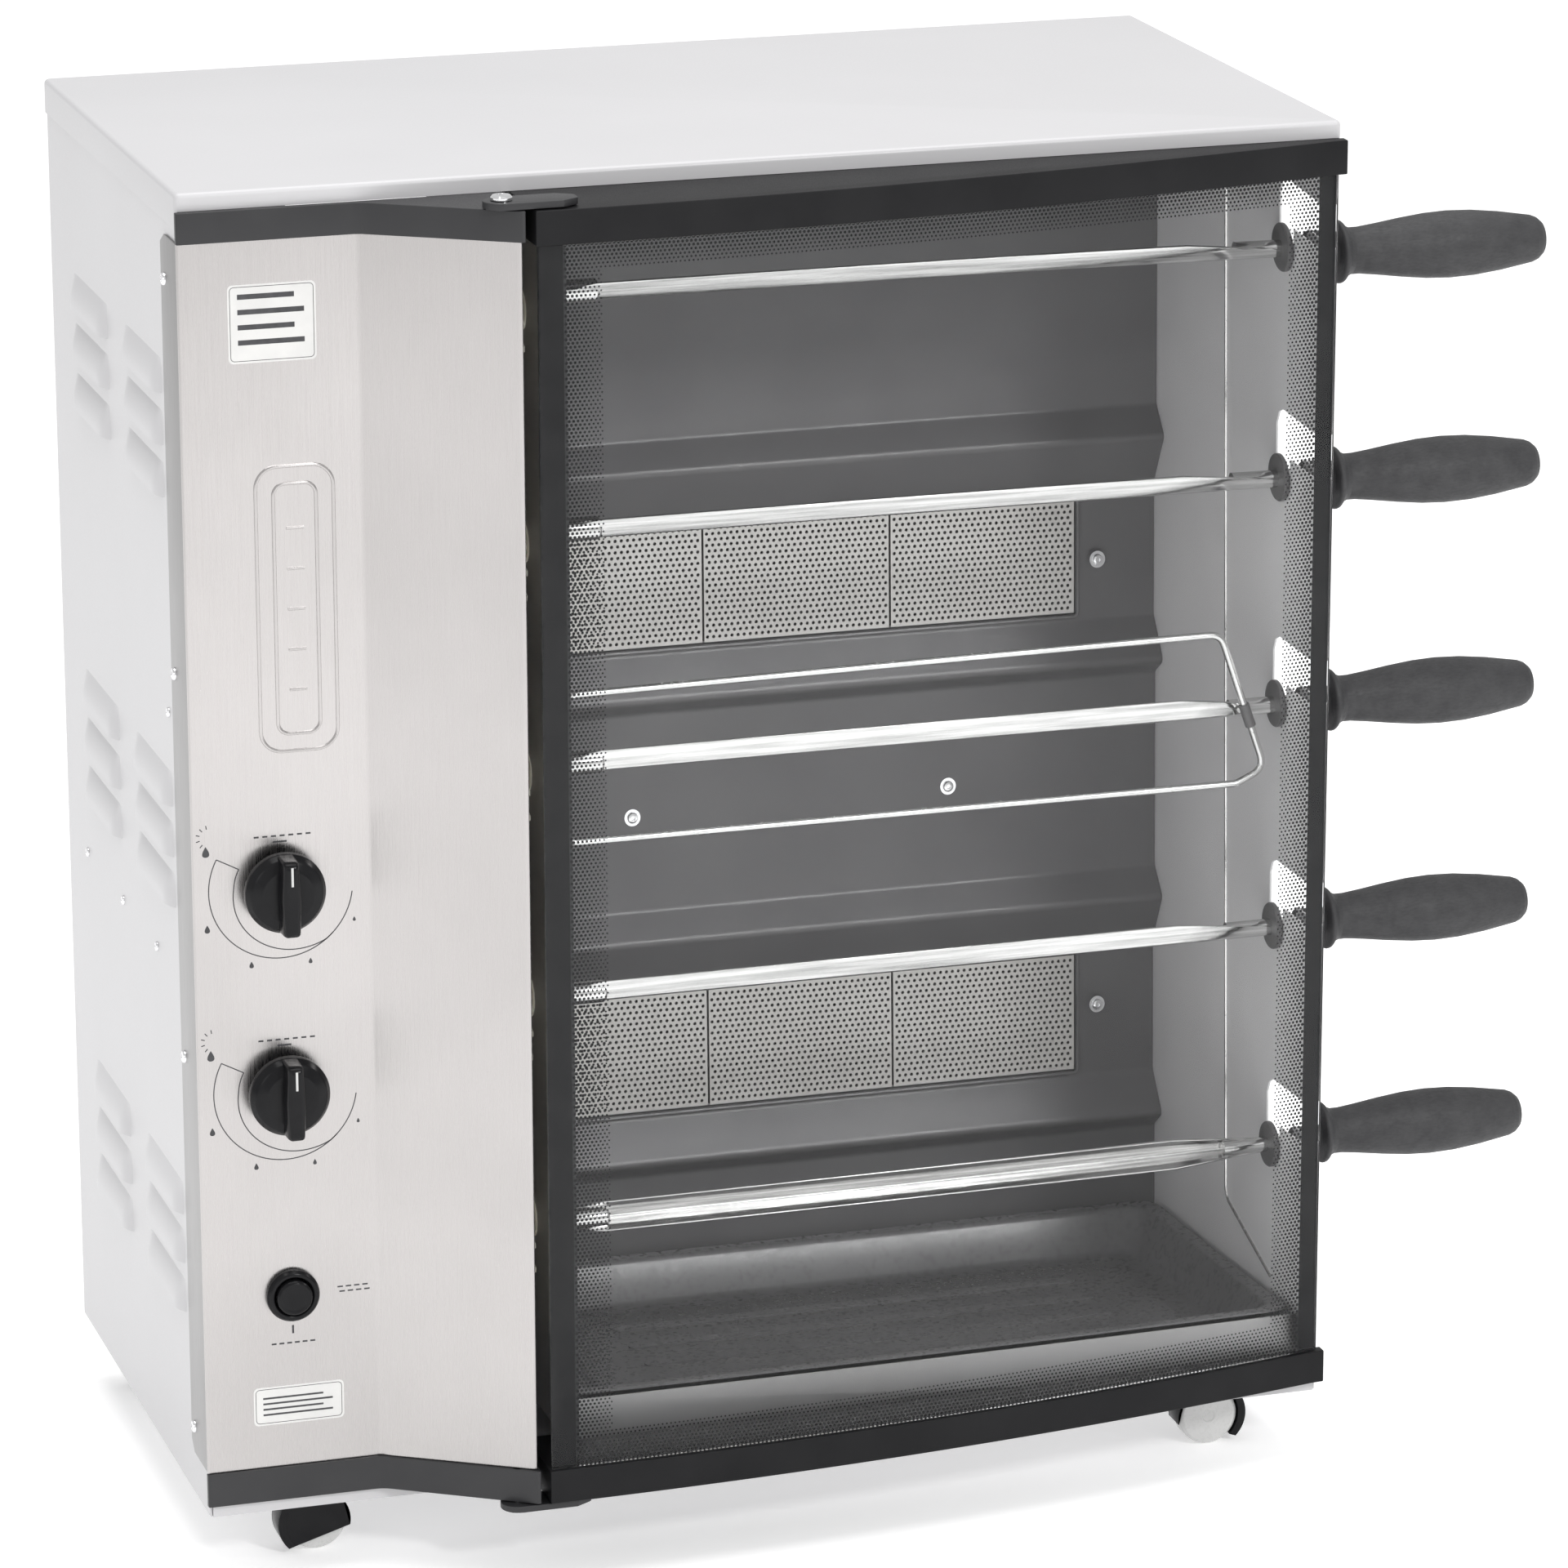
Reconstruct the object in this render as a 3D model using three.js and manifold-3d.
// Gas rotisserie oven with five spits, built as an assembly of separate pieces.
// Millimetres, +Z up. Inside the assembly, x runs right along the front from the casing's left
// face, y runs back from the casing's front plane, and z runs up from the worktop.
import * as THREE from 'three'
import { mergeVertices } from 'three/addons/utils/BufferGeometryUtils.js'
import Module from 'manifold-3d'

const wasm = await Module()
wasm.setup()

// ---------------------------------------------------------------- driving dimensions
const CASING = { width: 616, depth: 320, height: 700 }
const STAND = 36 // height of the casing's underside above the worktop
const SHEET = 1 // sheet metal thickness
const GAP = 0.3 // clearance between pieces that touch
const LIP = 18 // folded edge of the top cover
const FRONT_LIP = 9 // the same edge along the front, above the trims

const PANEL = { flat: 92, right: 165, front: -2, reach: -48, flange: 36 } // folded control panel
const TRIM = { proud: 2, low: 43, high: 727, tall: 16 } // moulded trims above and below the panel
const DOOR = { left: 170.5, right: 616, radius: 2200, front: -50, glass: 4, cap: 18 }
const PIVOT = { x: 156, y: -40, pin: 3, head: 5.5 } // door hinge, at the gap beside the panel
const EAR = { radius: 9.5, reach: 24 } // the cap's tongue that the hinge pin goes through

const SPITS = { count: 5, y: 50, top: 655.5, pitch: 122.5, bar: 8, neck: 4 } // neck is a radius
const COLLAR = { x: 602.3, thick: 3.2, radius: 12.5 }
const GRIP = { start: 617, flange: 634, end: 751 }
const BLADE = { start: 216, leg: 12, thick: 1.4, offset: 4 } // its corner stands offset from the axis
const BLADE_TURNS = [28, 24, 10, 15, 119] // degrees about the spit axis at rest, top to bottom
const BASKET = { left: 204, right: 592, high: 45, low: -37, forward: 16, wire: 1.9 }

const GEAR = { teeth: 30, x: 166, face: 8, hub: 11, bore: 9 }
const PINION = { teeth: 10, x: 164, face: 11 }
const TOOTH = { addendum: 3.2, dedendum: 4.1, atTip: 2.8, atRoot: 7.4 }
const PINION_TOOTH = { ...TOOTH, atTip: 2.4, atRoot: 6.6 }

const CAVITY = { left: 190, right: 606, roof: 718, back: 240 } // inner faces of the cooking space
const SLOT = { front: -5, rear: 60, low: 12, high: 36, notch: 20, floor: -5.5, corner: 9 } // about a spit
const SLOT_FLARE = 24 // how much further back the outer panel's slots reach
const BURNER = { left: 235, tile: 107.7, tiles: 3, face: 242, half: 31.5, centres: [440, 190] }
const VENT = { width: 24, tall: 9, x: 532, heights: [104, 46] }

const KNOB = { x: 45.5, heights: [375.3, 266.7], radius: 21, back: -8 }
const BUTTON = { x: 46.7, z: 155.3, bezel: 14, cap: 9.4 }
const LOUVRE = { long: 86, tall: 18, proud: 4, step: 27, starts: [47, 176], tops: [643, 426, 205] }
const CASTER = { wheel: 16.4, hood: 19, crescent: 2.4, width: 13, trail: 8, wall: 2 }
const CASTER_SPOTS = { // where each stem stands, and how far it is swivelled at rest, in degrees
  front_left: { x: 72, y: 34, turn: 180 },
  front_right: { x: 556, y: 34, turn: 0 },
  rear_left: { x: 46, y: 292, turn: 180 },
  rear_right: { x: 560, y: 280, turn: 0 },
}

const spitHeights = Array.from({ length: SPITS.count }, (_, i) => SPITS.top - i * SPITS.pitch)
const casingTop = STAND + CASING.height
const pitchRadius = SPITS.pitch / 2
const pinionRadius = (pitchRadius * PINION.teeth) / GEAR.teeth
const doorCentre = DOOR.front + DOOR.radius // y of the door's arc centre, at x = DOOR.left

const INLET = { x: 45.5, z: 112, end: 336 }
const GLAND = { x: 95, z: 112, radius: 7.7 }

// The whole object's box runs from the louvres to the handle ends and from the door cap to the
// gas inlet; its bottom centre is the part's origin.
const ORIGIN = {
  x: (SHEET + GAP - LOUVRE.proud + GRIP.end) / 2,
  y: (DOOR.front - TRIM.proud + INLET.end) / 2,
}

// ---------------------------------------------------------------- colours and finishes
const finish = (color, roughness, metalness) =>
  new THREE.MeshStandardMaterial({ color, roughness, metalness })
const WHITE = finish(0xf0f1f3, 0.35, 0)
const STAINLESS = finish(0xcfcbc6, 0.32, 0.9)
const BLACK_TRIM = finish(0x2b2b2d, 0.5, 0)
const GLOSS_BLACK = finish(0x111113, 0.2, 0)
const HANDLE_BLACK = finish(0x2e2e30, 0.7, 0)
const DARK_STEEL = finish(0x56565a, 0.45, 0.4)
const LINER = finish(0x8d8d90, 0.35, 0.7)
const CERAMIC = finish(0xb9b4aa, 0.9, 0)
const BRASS = finish(0xb58e4a, 0.35, 0.9)
const NYLON = finish(0xdcd8cc, 0.6, 0)
const GLASS = new THREE.MeshStandardMaterial({
  color: 0x9aa0a0, roughness: 0.05, metalness: 0, transparent: true, opacity: 0.3,
})
const CHROME = finish(0xd8d8da, 0.1, 1)

// ---------------------------------------------------------------- solid helpers
function solid(geometry) {
  const bare = geometry.index ? geometry.clone() : mergeVertices(geometry.clone())
  bare.deleteAttribute('normal')
  bare.deleteAttribute('uv')
  const merged = mergeVertices(bare, 1e-4)
  return new wasm.Manifold(new wasm.Mesh({
    numProp: 3,
    vertProperties: new Float32Array(merged.attributes.position.array),
    triVerts: new Uint32Array(merged.index.array),
  }))
}

function join(first, ...others) {
  return others.reduce((whole, piece) => whole.add(piece), first)
}

function cut(first, ...others) {
  return others.reduce((whole, piece) => whole.subtract(piece), first)
}

const assembly = new THREE.Group()
assembly.position.set(-ORIGIN.x, -ORIGIN.y, 0)

function place(name, body, material) {
  const { vertProperties, triVerts } = body.getMesh()
  const geometry = new THREE.BufferGeometry()
  geometry.setAttribute('position', new THREE.BufferAttribute(vertProperties, 3))
  geometry.setIndex(new THREE.BufferAttribute(triVerts, 1))
  const faceted = geometry.toNonIndexed()
  faceted.computeVertexNormals()
  const mesh = new THREE.Mesh(faceted, material)
  mesh.name = name
  assembly.add(mesh)
}

function box(x0, x1, y0, y1, z0, z1) {
  const geometry = new THREE.BoxGeometry(x1 - x0, y1 - y0, z1 - z0)
  geometry.translate((x0 + x1) / 2, (y0 + y1) / 2, (z0 + z1) / 2)
  return solid(geometry)
}

function outline(points) {
  return new THREE.Shape(points.map(([a, b]) => new THREE.Vector2(a, b)))
}

function extrude(shape, depth) {
  return new THREE.ExtrudeGeometry(shape, { depth, bevelEnabled: false })
}

// An outline in (x, y), raised from z0 to z1.
function prismZ(points, z0, z1) {
  return solid(extrude(outline(points), z1 - z0).translate(0, 0, z0))
}

// An outline in (y, z), drawn out from x0 to x1.
function prismX(points, x0, x1) {
  const turn = new THREE.Matrix4().makeBasis(
    new THREE.Vector3(0, 1, 0), new THREE.Vector3(0, 0, 1), new THREE.Vector3(1, 0, 0))
  return solid(extrude(outline(points), x1 - x0).applyMatrix4(turn).translate(x0, 0, 0))
}

// An outline in (x, z), drawn out from y0 to y1.
function prismY(points, y0, y1) {
  const turn = new THREE.Matrix4().makeBasis(
    new THREE.Vector3(1, 0, 0), new THREE.Vector3(0, 0, 1), new THREE.Vector3(0, -1, 0))
  return solid(extrude(outline(points), y1 - y0).applyMatrix4(turn).translate(0, y1, 0))
}

// A profile of [radius, height] pairs turned about an axis through the given place.
function turned(axis, profile, at, segments = 20) {
  const points = profile.map(([radius, height]) => new THREE.Vector2(radius, height))
  const geometry = new THREE.LatheGeometry(points, segments)
  if (axis === 'x') geometry.rotateZ(-Math.PI / 2)
  if (axis === 'z') geometry.rotateX(Math.PI / 2)
  return solid(geometry.translate(...at))
}

function rod(axis, radius, from, to, at, segments = 16) {
  const profile = [[0, from], [radius, from], [radius, to], [0, to]]
  return turned(axis, profile, at, segments)
}

// A round wire or pipe along corner points, with bends of the given radius between them.
function pipe(points, radius, bend, sides = 10, closed = false) {
  const corners = points.map((p) => new THREE.Vector3(...p))
  const count = corners.length
  const towards = (from, to) => to.clone().sub(from).normalize().multiplyScalar(bend).add(from)
  const stations = corners.flatMap((corner, i) => {
    if (!closed && (i === 0 || i === count - 1)) return [corner]
    const into = towards(corner, corners[(i + count - 1) % count])
    const out = towards(corner, corners[(i + 1) % count])
    return new THREE.QuadraticBezierCurve3(into, corner, out).getPoints(4)
  })
  return sweep(stations, radius, sides, closed)
}

// A tube through the stations, whose rings stand square to the path and never twist.
function sweep(stations, radius, sides, closed) {
  const count = stations.length
  const along = stations.map((p, i) => {
    const before = closed ? stations[(i + count - 1) % count] : stations[Math.max(i - 1, 0)]
    const after = closed ? stations[(i + 1) % count] : stations[Math.min(i + 1, count - 1)]
    return after.clone().sub(before).normalize()
  })
  const start = Math.abs(along[0].z) > 0.9 ? new THREE.Vector3(1, 0, 0) : new THREE.Vector3(0, 0, 1)
  let across = start.cross(along[0]).normalize()
  const corners = []
  stations.forEach((p, i) => {
    if (i > 0) {
      const turn = new THREE.Quaternion().setFromUnitVectors(along[i - 1], along[i])
      across = across.clone().applyQuaternion(turn)
    }
    const up = new THREE.Vector3().crossVectors(along[i], across)
    for (let k = 0; k < sides; k += 1) {
      const angle = (2 * Math.PI * k) / sides
      corners.push(...p.clone().addScaledVector(across, radius * Math.cos(angle))
        .addScaledVector(up, radius * Math.sin(angle)).toArray())
    }
  })
  const faces = []
  for (let i = 0; i < (closed ? count : count - 1); i += 1) {
    for (let k = 0; k < sides; k += 1) {
      const [a, b] = [i * sides + k, i * sides + ((k + 1) % sides)]
      const [c, d] = [a, b].map((corner) => (corner + sides) % (count * sides))
      faces.push(a, b, d, a, d, c)
    }
  }
  for (let k = 1; k < sides - 1 && !closed; k += 1) {
    const last = (count - 1) * sides
    faces.push(0, k + 1, k, last, last + k, last + k + 1)
  }
  const geometry = new THREE.BufferGeometry()
  geometry.setAttribute('position', new THREE.BufferAttribute(new Float32Array(corners), 3))
  geometry.setIndex(faces)
  return solid(geometry)
}

// A folded strip of sheet: the outer face's points in (x, y), thickened to their left-hand side.
function foldedOutline(points, thickness) {
  const normals = points.slice(1).map(([x, y], i) => {
    const [px, py] = points[i]
    const length = Math.hypot(x - px, y - py)
    return [-(y - py) / length, (x - px) / length]
  })
  const inner = points.map(([x, y], i) => {
    const a = normals[Math.max(i - 1, 0)]
    const b = normals[Math.min(i, normals.length - 1)]
    const scale = thickness / (1 + a[0] * b[0] + a[1] * b[1])
    return [x + (a[0] + b[0]) * scale, y + (a[1] + b[1]) * scale]
  })
  return [...points, ...inner.reverse()]
}

// ---------------------------------------------------------------- painted casing
function topCover() {
  const { width, depth } = CASING
  const outer = box(0, width, 0, depth, casingTop - LIP, casingTop)
  const hollow = box(SHEET, width - SHEET, SHEET, depth - SHEET, casingTop - LIP - 1,
    casingTop - SHEET)
  const frontRelief = box(-1, width + 1, -1, SHEET, casingTop - LIP - 1, casingTop - FRONT_LIP)
  return cut(outer, hollow, frontRelief)
}

// Pressed scoop whose mouth opens downwards, and the hollow behind it, which cuts a slot.
function louvre(y, top) {
  const face = SHEET + GAP
  const wall = 0.9
  const scoop = (inset, back) => {
    const low = top - LOUVRE.tall - inset
    const section = [[back, top - inset * 2], [back, low], [face - LOUVRE.proud + inset, low]]
    return prismY(section, y + inset * 2, y + LOUVRE.long - inset * 2)
  }
  return { shell: scoop(0, face + SHEET), hollow: scoop(wall, face + SHEET + 1) }
}

function leftSidePanel() {
  const face = SHEET + GAP
  let panel = box(face, face + SHEET, face, CASING.depth - face, STAND, casingTop - face)
  const scoops = LOUVRE.tops.flatMap((top) => [0, 1, 2].flatMap((row) =>
    LOUVRE.starts.map((start) => louvre(start, top - row * LOUVRE.step))))
  panel = join(panel, ...scoops.map((scoop) => scoop.shell))
  return cut(panel, ...scoops.map((scoop) => scoop.hollow))
}

// J-shaped way for a spit's neck: in from the front edge, then down into a notch.
function spitSlot(z, x0, x1, flare = 0) {
  const { y } = SPITS
  const { front, low, high, corner } = SLOT
  const rear = SLOT.rear + flare
  const half = SLOT.notch / 2
  const floor = z + SLOT.floor
  const points = [
    [front, z + low], [y - half, z + low], [y - half, z], [y - half * 0.6, floor + 2], [y, floor],
    [y + half * 0.6, floor + 2], [rear, z], [rear, z + high - corner],
    [rear - corner / 3, z + high - corner / 3], [rear - corner, z + high], [front, z + high],
  ]
  return prismX(points, x0, x1)
}

function rightSidePanel() {
  const outer = CASING.width - SHEET - GAP
  const panel = box(outer - SHEET, outer, SHEET + GAP, CASING.depth - SHEET - GAP, STAND,
    casingTop - SHEET - GAP)
  return cut(panel, ...spitHeights.map((z) => spitSlot(z, outer - SHEET - 1, outer + 1, SLOT_FLARE)))
}

function rearPanel() {
  const inset = SHEET + GAP + SHEET + GAP
  const outer = CASING.depth - SHEET - GAP
  const panel = box(inset, CASING.width - inset, outer - SHEET, outer, STAND, casingTop - SHEET - GAP)
  const slots = []
  for (let row = 0; row < 4; row += 1) {
    for (let column = 0; column < 3; column += 1) {
      const x = 130 + column * 130
      const z = 640 + row * 16
      slots.push(box(x, x + 96, outer - 2, outer + 1, z, z + 5))
    }
  }
  const inletHole = rod('y', 7, outer - 3, outer + 2, [INLET.x, 0, INLET.z], 20)
  const glandHole = rod('y', GLAND.radius + GAP, outer - 3, outer + 2, [GLAND.x, 0, GLAND.z], 20)
  return cut(panel, inletHole, glandHole, ...slots)
}

function basePan() {
  const inset = SHEET + GAP + SHEET + GAP
  const outer = box(inset, CASING.width - inset, 0, CASING.depth - 3, STAND, STAND + 22)
  const hollow = box(inset + SHEET, CASING.width - inset - SHEET, SHEET, CASING.depth - 4,
    STAND + SHEET, STAND + 30)
  const frontRelief = box(0, CASING.width, -1, 2, STAND + 6.7, STAND + 30)
  const swivels = Object.values(CASTER_SPOTS).map(({ x, y }) =>
    rod('z', 4.5, STAND - 2, STAND + 4, [x, y, 0]))
  return cut(outer, hollow, frontRelief, ...swivels)
}

// ---------------------------------------------------------------- control panel and trims
const panelLine = [
  [0, PANEL.flange], [0, PANEL.front], [PANEL.flat, PANEL.front], [PANEL.right, PANEL.reach],
  [PANEL.right, PANEL.reach + 16],
]

function frontPanel() {
  const z0 = TRIM.low + DOOR.cap + GAP
  const z1 = TRIM.high - TRIM.tall - GAP
  const panel = prismZ(foldedOutline(panelLine, SHEET), z0, z1)
  const holes = KNOB.heights.map((z) => rod('y', 5, -4, 1, [KNOB.x, 0, z]))
  return cut(panel, ...holes, rod('y', 11.3, -4, 1, [BUTTON.x, 0, BUTTON.z]))
}

const trimLine = [
  [-0.5, -GAP], [-0.5, PANEL.front - TRIM.proud],
  [PANEL.flat + 0.5, PANEL.front - TRIM.proud],
  [PANEL.right - 1, PANEL.reach - TRIM.proud], [PANEL.right + 0.8, PANEL.reach - TRIM.proud],
  [PANEL.right + 0.8, -GAP],
]

function panelTrim(low, high, pocketLow, pocketHigh) {
  const wall = 2.2
  const pocket = [
    [2, -GAP - wall], [PANEL.flat, -GAP - wall - 0.2], [PANEL.flat + 6, -GAP - wall - 1],
    [PANEL.right - 3, PANEL.reach + 4.5], [PANEL.right - 1.4, PANEL.reach + 4.5],
    [PANEL.right - 1.4, -GAP - wall],
  ]
  const bossRadius = PIVOT.pin + 3
  const boss = rod('z', bossRadius, low, high, [PIVOT.x, PIVOT.y, 0])
  const shell = cut(prismZ(trimLine, low, high), prismZ(pocket.reverse(), pocketLow, pocketHigh))
  const bore = rod('z', PIVOT.pin + GAP, low - 1, high + 1, [PIVOT.x, PIVOT.y, 0])
  const kept = join(shell, boss.intersect(prismZ(trimLine, low, high)))
  return cut(kept, bore)
}

function hingePin(end, headFrom, headTo) {
  const profile = end < headFrom
    ? [[0, end], [PIVOT.pin, end], [PIVOT.pin, headFrom], [PIVOT.head, headFrom],
      [PIVOT.head, headTo - 1], [PIVOT.head - 1.5, headTo], [0, headTo]]
    : [[0, headTo], [PIVOT.head - 1.5, headTo], [PIVOT.head, headTo + 1], [PIVOT.head, headFrom],
      [PIVOT.pin, headFrom], [PIVOT.pin, end], [0, end]]
  return turned('z', profile, [PIVOT.x, PIVOT.y, 0], 20)
}

// ---------------------------------------------------------------- door
function arcPoint(radius, x) {
  return [x, doorCentre - Math.sqrt(radius ** 2 - (x - DOOR.left) ** 2)]
}

function arcPoints(radius, x0, x1, steps) {
  return Array.from({ length: steps + 1 }, (_, i) => arcPoint(radius, x0 + ((x1 - x0) * i) / steps))
}

function doorGlass() {
  const outer = arcPoints(DOOR.radius, DOOR.left + 1.5, DOOR.right - 3, 16)
  const inner = arcPoints(DOOR.radius - DOOR.glass, DOOR.left + 1.5, DOOR.right - 3, 16)
  return prismZ([...outer, ...inner.reverse()], TRIM.low + DOOR.cap + GAP, TRIM.high - DOOR.cap - GAP)
}

// A moulded cap along the glass, filling the bulge between the glass and the casing front.
function doorCap(low, high, pocketLow, pocketHigh, tongueLow, tongueHigh) {
  const proud = arcPoints(DOOR.radius + TRIM.proud, DOOR.left, DOOR.right - 6, 16)
  const body = prismZ([...proud, [DOOR.right + 1, -7], [DOOR.right + 1, -GAP * 2],
    [DOOR.left, -GAP * 2]], low, high)
  const inside = arcPoints(DOOR.radius - DOOR.glass - 3, DOOR.left + 2, DOOR.right - 150, 12)
  const pocket = prismZ([...inside, [DOOR.right - 150, -3], [DOOR.left + 2, -3]],
    pocketLow, pocketHigh)
  const end = Array.from({ length: 9 }, (_, i) => {
    const turn = Math.PI / 2 + (Math.PI * i) / 8
    return [PIVOT.x + EAR.radius * Math.cos(turn), PIVOT.y + EAR.radius * Math.sin(turn)]
  })
  const tip = DOOR.left + EAR.reach
  const tongue = prismZ([...end, [tip - 6, PIVOT.y - EAR.radius], [tip, PIVOT.y - 3],
    [tip, PIVOT.y + 3], [tip - 6, PIVOT.y + EAR.radius]], tongueLow, tongueHigh)
  const root = box(DOOR.left, tip - 6, PIVOT.y - 5, PIVOT.y + 5,
    Math.min(tongueLow, high - 4), Math.max(tongueHigh, low + 4))
  const eye = rod('z', PIVOT.pin + GAP, tongueLow - 2, tongueHigh + 2, [PIVOT.x, PIVOT.y, 0])
  return cut(join(cut(body, pocket), tongue, root), eye)
}

// ---------------------------------------------------------------- cooking cavity
function driveWall() {
  const x = CAVITY.left - SHEET
  const wall = join(box(x, CAVITY.left, 2, CAVITY.back, 62, CAVITY.roof - GAP),
    box(x, CAVITY.left, -28, 3, 62, TRIM.high - DOOR.cap - GAP))
  const holes = spitHeights.map((z) => rod('x', GEAR.hub + 1, x - 1, CAVITY.left + 1,
    [0, SPITS.y, z], 16))
  return cut(wall, ...holes)
}

function rightInnerWall() {
  const wall = box(CAVITY.right, CAVITY.right + SHEET, SHEET, CAVITY.back + 45, STAND + 25,
    CAVITY.roof - GAP)
  return cut(wall, ...spitHeights.map((z) => spitSlot(z, CAVITY.right - 1, CAVITY.right + 2)))
}

function cavityRoof() {
  return box(CAVITY.left - SHEET, CAVITY.right + SHEET, 2, CAVITY.back + 40, CAVITY.roof,
    CAVITY.roof + SHEET)
}

// Folded reflector behind the spits, with a hooded bay for each burner.
function rearReflector() {
  const { back } = CAVITY
  const bay = (zc) => [
    [back, zc + 78], [back - 13, zc + 64], [back + 3, zc + 36],
    [back + 3, zc - 36], [back - 13, zc - 57], [back, zc - 66],
  ]
  const line = [[back, CAVITY.roof - GAP], ...bay(BURNER.centres[0]), ...bay(BURNER.centres[1]),
    [back, STAND + 2]]
  const sheet = prismX(foldedOutline(line, SHEET), CAVITY.left + GAP, CAVITY.right - GAP)
  const left = BURNER.left - 1
  const right = BURNER.left + BURNER.tile * BURNER.tiles + 1
  const windows = BURNER.centres.map((zc) =>
    box(left, right, back, back + 8, zc - BURNER.half - 1, zc + BURNER.half + 1))
  const vents = VENT.heights.map((z) =>
    box(VENT.x, VENT.x + VENT.width, back - 3, back + 4, z, z + VENT.tall))
  return cut(sheet, ...windows, ...vents)
}

function burnerBody(zc) {
  const left = BURNER.left - 6
  const right = BURNER.left + BURNER.tile * BURNER.tiles + 6
  const front = BURNER.face + 12 + GAP
  const plenum = prismX([[front, zc - 38], [front + 20, zc - 38], [front + 34, zc - 24],
    [front + 34, zc + 24], [front + 20, zc + 38], [front, zc + 38]], left, right)
  const chamber = box(left + 4, right - 4, front - 1, front + 18, zc - 30, zc + 30)
  const venturi = turned('x', [[0, -30], [9, -30], [6.5, -12], [9, 6], [0, 6]],
    [left, front + 16, zc], 16)
  const throat = rod('x', 4.2, -31, 8, [left, front + 16, zc], 12)
  return cut(join(plenum, venturi), chamber, throat)
}

// Three perforated ceramic tiles laid edge to edge, told apart by the joints between them.
function burnerTiles(zc) {
  const right = BURNER.left + BURNER.tile * BURNER.tiles
  const slab = box(BURNER.left, right, BURNER.face, BURNER.face + 12, zc - BURNER.half,
    zc + BURNER.half)
  const seams = [1, 2].map((i) => {
    const x = BURNER.left + i * BURNER.tile
    return box(x - 0.6, x + 0.6, BURNER.face - 1, BURNER.face + 2.5, zc - 40, zc + 40)
  })
  return cut(slab, ...seams)
}

function dripTray() {
  const [x0, x1, y0, y1] = [CAVITY.left + 4, CAVITY.right - 4, 6, CAVITY.back - 8]
  const frustum = (inset, spread, z0, z1) => {
    const ring = (grow, z) => [[x0 + grow, y0 + grow, z], [x1 - grow, y0 + grow, z],
      [x1 - grow, y1 - grow, z], [x0 + grow, y1 - grow, z]]
    const corners = [...ring(inset + spread, z0), ...ring(inset, z1)].flat()
    const faces = [0, 2, 1, 0, 3, 2, 4, 5, 6, 4, 6, 7, 0, 1, 5, 0, 5, 4, 1, 2, 6, 1, 6, 5,
      2, 3, 7, 2, 7, 6, 3, 0, 4, 3, 4, 7]
    const geometry = new THREE.BufferGeometry()
    geometry.setAttribute('position', new THREE.BufferAttribute(new Float32Array(corners), 3))
    geometry.setIndex(faces)
    return solid(geometry)
  }
  const rimHeight = 84
  const rim = box(x0, x1, y0, y1, rimHeight - 1.2, rimHeight)
  const shell = frustum(8, 10, 60, rimHeight - 0.5)
  return cut(join(rim, shell), frustum(9.2, 10, 61.2, rimHeight + 1))
}

// ---------------------------------------------------------------- gas parts and controls
function gasManifold() {
  const { x, z, end } = INLET
  const top = KNOB.heights[0] + 27
  const run = pipe([[x, 46, top], [x, 46, z], [x, end, z]], 5, 16, 10)
  const nut = rod('y', 8.5, end - 14, end - 6, [x, 0, z], 6)
  return join(run, nut)
}

function gasValve(z) {
  const body = box(KNOB.x - 12, KNOB.x + 12, 10, 40.5, z - 13, z + 13)
  const nose = rod('y', 8, 3, 12, [KNOB.x, 0, z], 16)
  const outlet = rod('x', 5.5, KNOB.x + 10, KNOB.x + 20, [0, 30, z], 12)
  return cut(join(body, nose, outlet), rod('y', 4.4, 2, 26, [KNOB.x, 0, z]))
}

function valveStem(z) {
  return rod('y', 4, -24, 20, [KNOB.x, 0, z])
}

function knob(z) {
  const { radius, back } = KNOB
  const skirt = turned('y', [[0, 0], [radius - 1.5, 0], [radius, 1.2], [radius, 5], [radius - 2, 8.2],
    [radius - 7, 10.4], [0, 11]], [0, 0, 0], 24)
  const grip = prismY([[-5, -radius + 1], [5, -radius + 1], [5.6, 0], [4.2, radius - 0.5],
    [-4.2, radius - 0.5], [-5.6, 0]], 1, 21)
  const whole = join(skirt, grip)
  const facing = whole.rotate([0, 0, 180]).translate([KNOB.x, back, z])
  return cut(facing, rod('y', 4.2, back - 17, back + 1, [KNOB.x, 0, z]))
}

function switchBody() {
  const at = [BUTTON.x, 0, BUTTON.z]
  const bezel = turned('y', [[0, -7], [BUTTON.bezel - 1.6, -7], [BUTTON.bezel, -5.4],
    [BUTTON.bezel, -2.3], [0, -2.3]], at, 32)
  const barrel = rod('y', 10.9, -3, 22, at, 24)
  return cut(join(bezel, barrel), rod('y', BUTTON.cap + 0.4, -8, 14, at, 24))
}

function switchButton() {
  return turned('y', [[0, -9.8], [BUTTON.cap - 1.4, -9.8], [BUTTON.cap, -8.8], [BUTTON.cap, 8],
    [0, 8]], [BUTTON.x, 0, BUTTON.z], 24)
}

function feedPipe(fromZ, toZ) {
  const end = BURNER.left - 37
  const line = BURNER.face + 12 + GAP + 16
  return pipe([[KNOB.x + 20.3, 30, fromZ], [81, 30, fromZ], [81, line, toZ], [end, line, toZ]],
    3.5, 14, 8)
}

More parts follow.
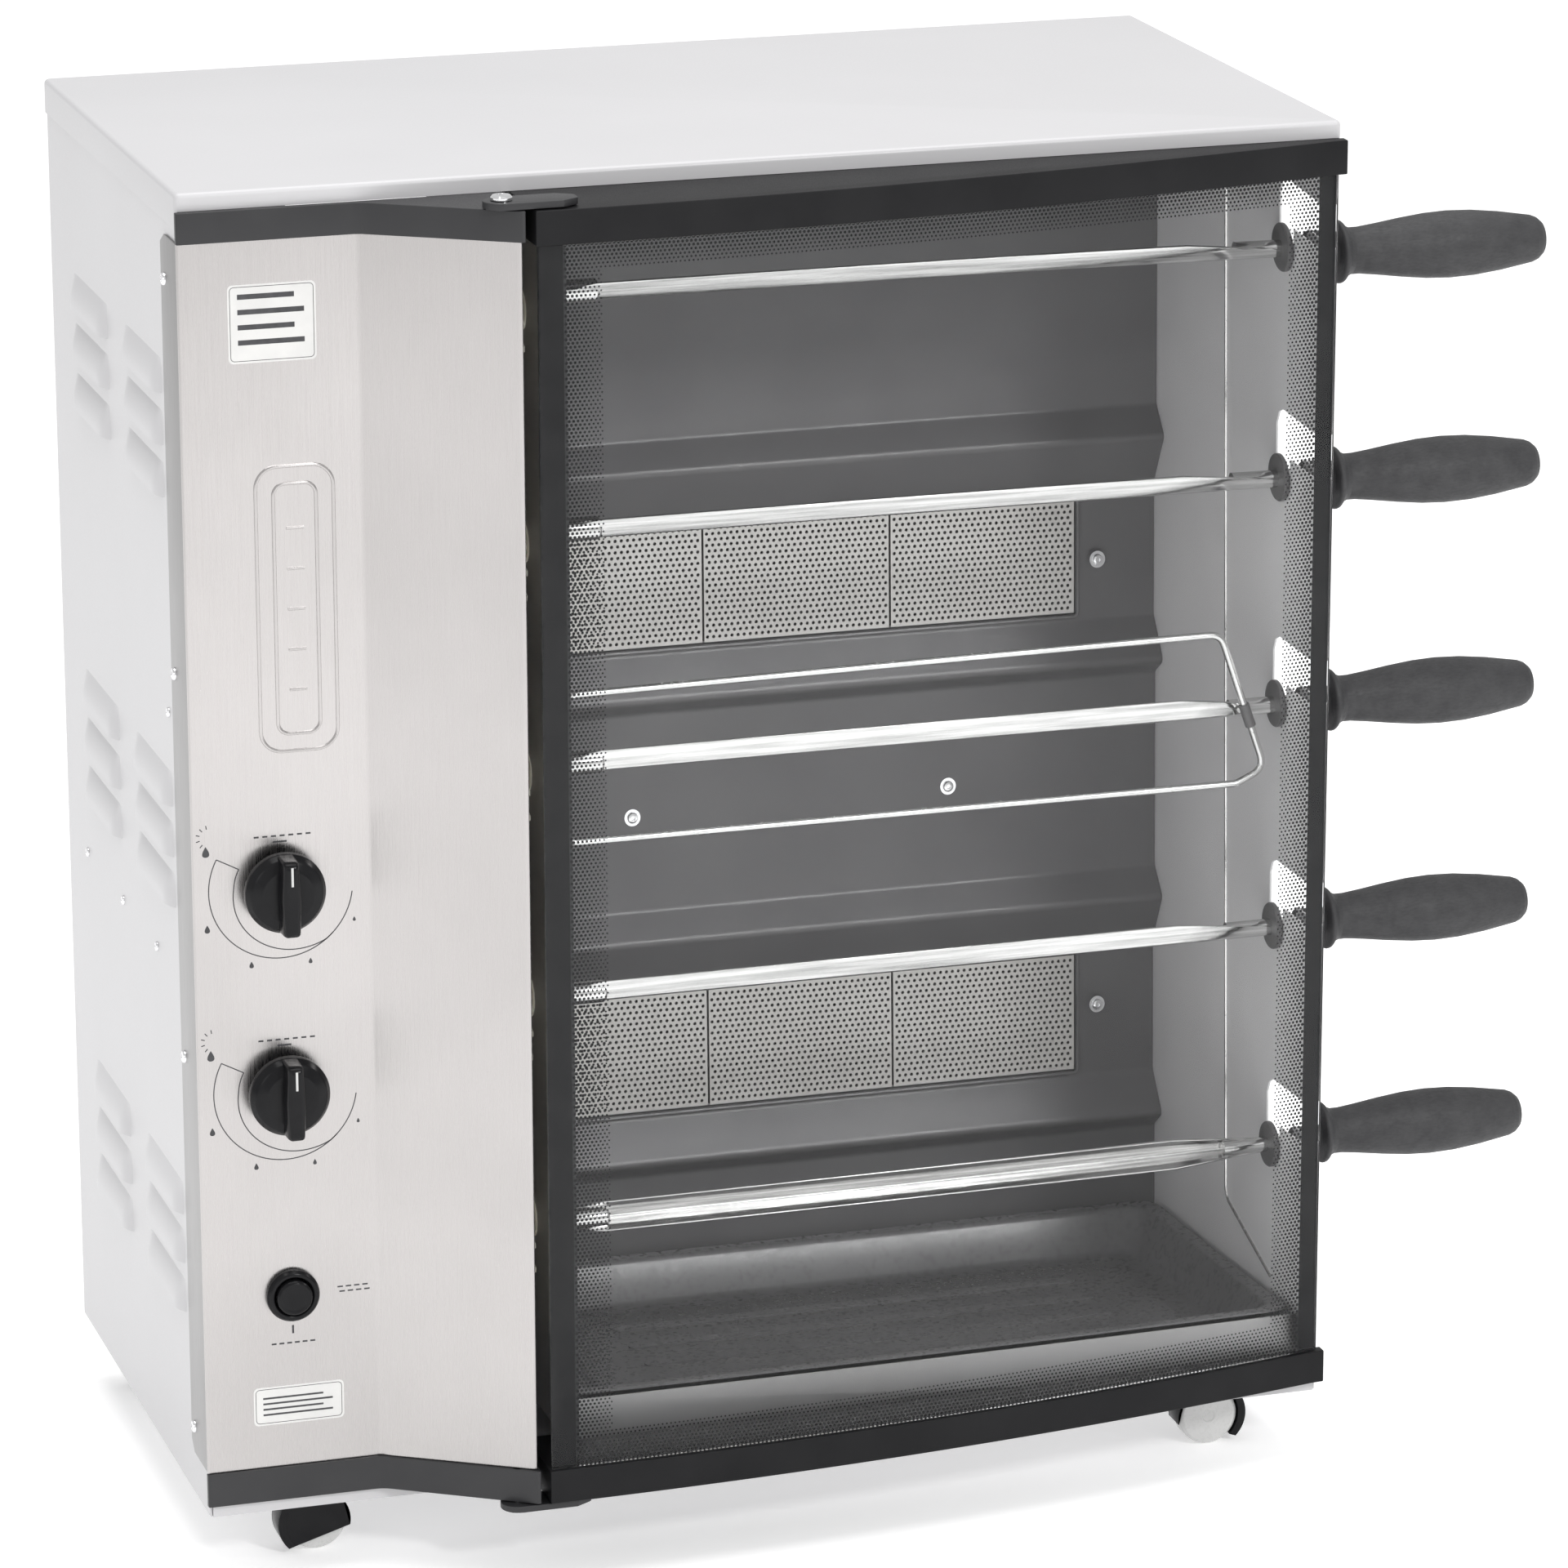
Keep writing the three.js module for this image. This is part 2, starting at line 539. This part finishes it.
function cordGland() {
  const y = CASING.depth - SHEET - GAP
  const at = [GLAND.x, 0, GLAND.z]
  const barrel = rod('y', GLAND.radius, y - 8, y + 1, at, 16)
  const flange = rod('y', 10.5, y + GAP, y + 6, at, 16)
  return cut(join(barrel, flange), rod('y', 4, y - 9, y + 7, at, 12))
}

// ---------------------------------------------------------------- spit drive
// A spur gear blank with straight-sided teeth, in (y, z), one tooth centred on the given angle.
function gearOutline(teeth, radius, firstTooth, tooth = TOOTH) {
  const root = [radius - tooth.dedendum, tooth.atRoot]
  const tip = [radius + tooth.addendum, tooth.atTip]
  return Array.from({ length: teeth }, (_, i) => {
    const middle = firstTooth + (2 * Math.PI * i) / teeth
    const corner = ([r, wide], side) => {
      const angle = middle + (side * wide) / 2 / r
      return [r * Math.cos(angle), r * Math.sin(angle)]
    }
    return [corner(root, -1), corner(tip, -1), corner(tip, 1), corner(root, 1)]
  }).flat()
}

function gearPrism(points, x0, x1, y, z) {
  return prismX(points.map(([a, b]) => [y + a, z + b]), x0, x1)
}

function spitGear(index) {
  const z = spitHeights[index]
  const halfTooth = Math.PI / GEAR.teeth
  const firstTooth = Math.PI / 2 + (index % 2) * halfTooth
  const toothed = gearPrism(gearOutline(GEAR.teeth, pitchRadius, firstTooth), GEAR.x,
    GEAR.x + GEAR.face, SPITS.y, z)
  const hub = rod('x', GEAR.hub, GEAR.x - 6, CAVITY.left + 8, [0, SPITS.y, z], 16)
  const half = GEAR.bore / 2
  const socket = box(GEAR.x, CAVITY.left + 9, SPITS.y - half, SPITS.y + half, z - half, z + half)
  return cut(join(toothed, hub), socket)
}

const motorY = SPITS.y + pitchRadius + pinionRadius
const motorZ = spitHeights[2]

function motorPinion() {
  const points = gearOutline(PINION.teeth, pinionRadius, Math.PI, PINION_TOOTH)
  const toothed = gearPrism(points, PINION.x, PINION.x + PINION.face, motorY, motorZ)
  return join(toothed, rod('x', 5, 150, PINION.x + 1, [0, motorY, motorZ], 16))
}

function gearMotor() {
  const can = rod('x', 27, 92, 122, [0, motorY, motorZ], 28)
  const gearbox = box(120, 160, motorY - 30, motorY + 34, motorZ - 30, motorZ + 30)
  const posts = [-24, 24].map((dz) =>
    rod('x', 4, 158, CAVITY.left - SHEET - GAP, [0, motorY + 28, motorZ + dz], 10))
  return cut(join(can, gearbox, ...posts), rod('x', 5.4, 148, 161, [0, motorY, motorZ], 16))
}

// ---------------------------------------------------------------- spits
// Stainless spit: square drive end, angle-section blade, round neck and a stop collar.
function spitBlade(index) {
  const z = spitHeights[index]
  const { leg, thick, offset } = BLADE
  const angle = outline([[0, 0], [leg, 0], [leg, thick], [thick, thick], [thick, leg], [0, leg]])
  const turn = new THREE.Matrix4().makeBasis(
    new THREE.Vector3(0, 1, 0), new THREE.Vector3(0, 0, 1), new THREE.Vector3(1, 0, 0))
  const length = COLLAR.x + 1 - BLADE.start
  const channel = extrude(angle, length)
  channel.translate(-offset, -offset, 0).applyMatrix4(turn)
  channel.rotateX(THREE.MathUtils.degToRad(BLADE_TURNS[index]))
  const blade = solid(channel.translate(BLADE.start, SPITS.y, z))
  const half = SPITS.bar / 2
  const drive = box(GEAR.x + 4, BLADE.start + 1, SPITS.y - half, SPITS.y + half, z - half, z + half)
  const shoulder = rod('x', 6, BLADE.start - 6, BLADE.start + 14, [0, SPITS.y, z], 12)
  const collar = rod('x', COLLAR.radius, COLLAR.x, COLLAR.x + COLLAR.thick, [0, SPITS.y, z], 16)
  const neck = rod('x', SPITS.neck, COLLAR.x - 26, GRIP.flange + 40, [0, SPITS.y, z], 12)
  return join(blade, drive, shoulder, collar, neck)
}

function spitHandle(index) {
  const { start, flange, end } = GRIP
  const profile = [
    [0, start], [7.6, start], [7.6, flange - 1], [17, flange - 1], [17, flange + 1.5],
    [12.6, flange + 6], [12.6, flange + 13], [16.2, flange + 40], [17.8, flange + 62],
    [16.8, flange + 84], [13, end - 4], [9.5, end], [0, end],
  ]
  const grip = turned('x', profile, [0, SPITS.y, spitHeights[index]], 18)
  return cut(grip, rod('x', SPITS.neck + GAP, start - 1, flange + 41,
    [0, SPITS.y, spitHeights[index]], 12))
}

// Wire loop held in front of the middle spit by a prong at each end, for flat pieces of meat.
function wireBasket() {
  const z = spitHeights[2]
  const y = SPITS.y - BASKET.forward
  const { left, right, high, low, wire } = BASKET
  const [topRight, bottomRight] = [right - 26, right - 16]
  const loop = pipe([[left, y, z + high - 4], [topRight, y, z + high], [right, y, z + low + 7],
    [bottomRight, y, z + low], [left, y, z + low]], wire, 8, 8, true)
  const crossing = topRight + ((right - topRight) * high) / (high - low - 7)
  const reach = SPITS.bar / 2 + GAP
  const prongs = [[left, reach], [crossing, reach + 1.2]].map(([x, short]) =>
    rod('y', wire - 0.2, y, SPITS.y - short, [x, 0, z], 8))
  return join(loop, ...prongs)
}

// ---------------------------------------------------------------- casters
// A caster is made with its stem over the origin and its wheel trailing along x, then turned and
// set down at its spot.
function setDown(body, { x, y, turn }) {
  return body.rotate([0, 0, turn]).translate([x, y, 0])
}

// Black crescent over the wheel, closed on the far side by a cheek that carries the axle pin.
function casterHood() {
  const { wheel, hood, crescent, width, trail, wall } = CASTER
  const arc = Array.from({ length: 15 }, (_, i) => {
    const turn = THREE.MathUtils.degToRad(-45 + (235 * i) / 14)
    return [trail + crescent + hood * Math.cos(turn), wheel + hood * Math.sin(turn)]
  })
  const front = -width / 2
  const cheekAt = width / 2 + 1
  const shell = prismY(arc, front, cheekAt + wall)
  const room = rod('y', wheel + 0.8, front - 1, cheekAt, [trail, 0, wheel], 24)
  const pin = rod('y', 2.5, front + 1, cheekAt + 1, [trail, 0, wheel], 12)
  const stem = rod('z', 4, STAND - 3, STAND + 3.2, [0, 0, 0], 10)
  const seat = rod('z', 9, STAND - 3.4, STAND - GAP, [0, 0, 0], 12)
  return join(cut(join(shell, seat, stem), room), pin)
}

function casterWheel() {
  const { wheel, width, trail } = CASTER
  const half = width / 2
  const at = [trail, 0, wheel]
  const tyre = turned('y', [[0, -half], [wheel - 2, -half], [wheel, -half + 2],
    [wheel, half - 2], [wheel - 2, half], [0, half]], at, 24)
  return cut(tyre, rod('y', 2.8, -half + 0.7, half + 1, at, 12))
}

// ---------------------------------------------------------------- assembly
place('top_cover', topCover(), WHITE)
place('left_side_panel', leftSidePanel(), WHITE)
place('right_side_panel', rightSidePanel(), WHITE)
place('rear_panel', rearPanel(), WHITE)
place('base_pan', basePan(), WHITE)
place('front_panel', frontPanel(), STAINLESS)
place('panel_trim_top', panelTrim(TRIM.high - TRIM.tall, TRIM.high,
  TRIM.high - TRIM.tall - 1, TRIM.high - 3), BLACK_TRIM)
place('panel_trim_bottom', panelTrim(TRIM.low, TRIM.low + DOOR.cap,
  TRIM.low + 3, TRIM.low + DOOR.cap + 1), BLACK_TRIM)

place('door_glass', doorGlass(), GLASS)
place('door_cap_top', doorCap(TRIM.high - DOOR.cap, TRIM.high, TRIM.high - DOOR.cap - 1,
  TRIM.high - 3, TRIM.high + 0.6, TRIM.high + 4.2), BLACK_TRIM)
place('door_cap_bottom', doorCap(TRIM.low, TRIM.low + DOOR.cap, TRIM.low + 3,
  TRIM.low + DOOR.cap + 1, TRIM.low - 4, TRIM.low - 0.6), BLACK_TRIM)
place('hinge_pin_top', hingePin(TRIM.high - 12, TRIM.high + 4.6, TRIM.high + 7.4), CHROME)
place('hinge_pin_bottom', hingePin(TRIM.low + 12, TRIM.low - 4.4, TRIM.low - 6.8), CHROME)

place('drive_wall', driveWall(), LINER)
place('right_inner_wall', rightInnerWall(), LINER)
place('cavity_roof', cavityRoof(), DARK_STEEL)
place('rear_reflector', rearReflector(), DARK_STEEL)
place('drip_tray', dripTray(), DARK_STEEL)
for (const [i, level] of ['upper', 'lower'].entries()) {
  place(`burner_body_${level}`, burnerBody(BURNER.centres[i]), LINER)
  place(`burner_tiles_${level}`, burnerTiles(BURNER.centres[i]), CERAMIC)
  place(`gas_valve_${level}`, gasValve(KNOB.heights[i]), BRASS)
  place(`valve_stem_${level}`, valveStem(KNOB.heights[i]), BRASS)
  place(`knob_${level}`, knob(KNOB.heights[i]), GLOSS_BLACK)
  place(`gas_feed_${level}`, feedPipe(KNOB.heights[i], BURNER.centres[i]), BRASS)
}
place('gas_manifold', gasManifold(), BRASS)
place('switch_body', switchBody(), GLOSS_BLACK)
place('switch_button', switchButton(), GLOSS_BLACK)
place('cord_gland', cordGland(), BLACK_TRIM)

place('gear_motor', gearMotor(), DARK_STEEL)
place('motor_pinion', motorPinion(), NYLON)
spitHeights.forEach((_, i) => {
  place(`spit_gear_${i + 1}`, spitGear(i), NYLON)
  place(`spit_blade_${i + 1}`, spitBlade(i), STAINLESS)
  place(`spit_handle_${i + 1}`, spitHandle(i), HANDLE_BLACK)
})
place('wire_basket', wireBasket(), STAINLESS)

for (const [corner, spot] of Object.entries(CASTER_SPOTS)) {
  place(`caster_hood_${corner}`, setDown(casterHood(), spot), GLOSS_BLACK)
  place(`caster_wheel_${corner}`, setDown(casterWheel(), spot), WHITE)
}

export default assembly
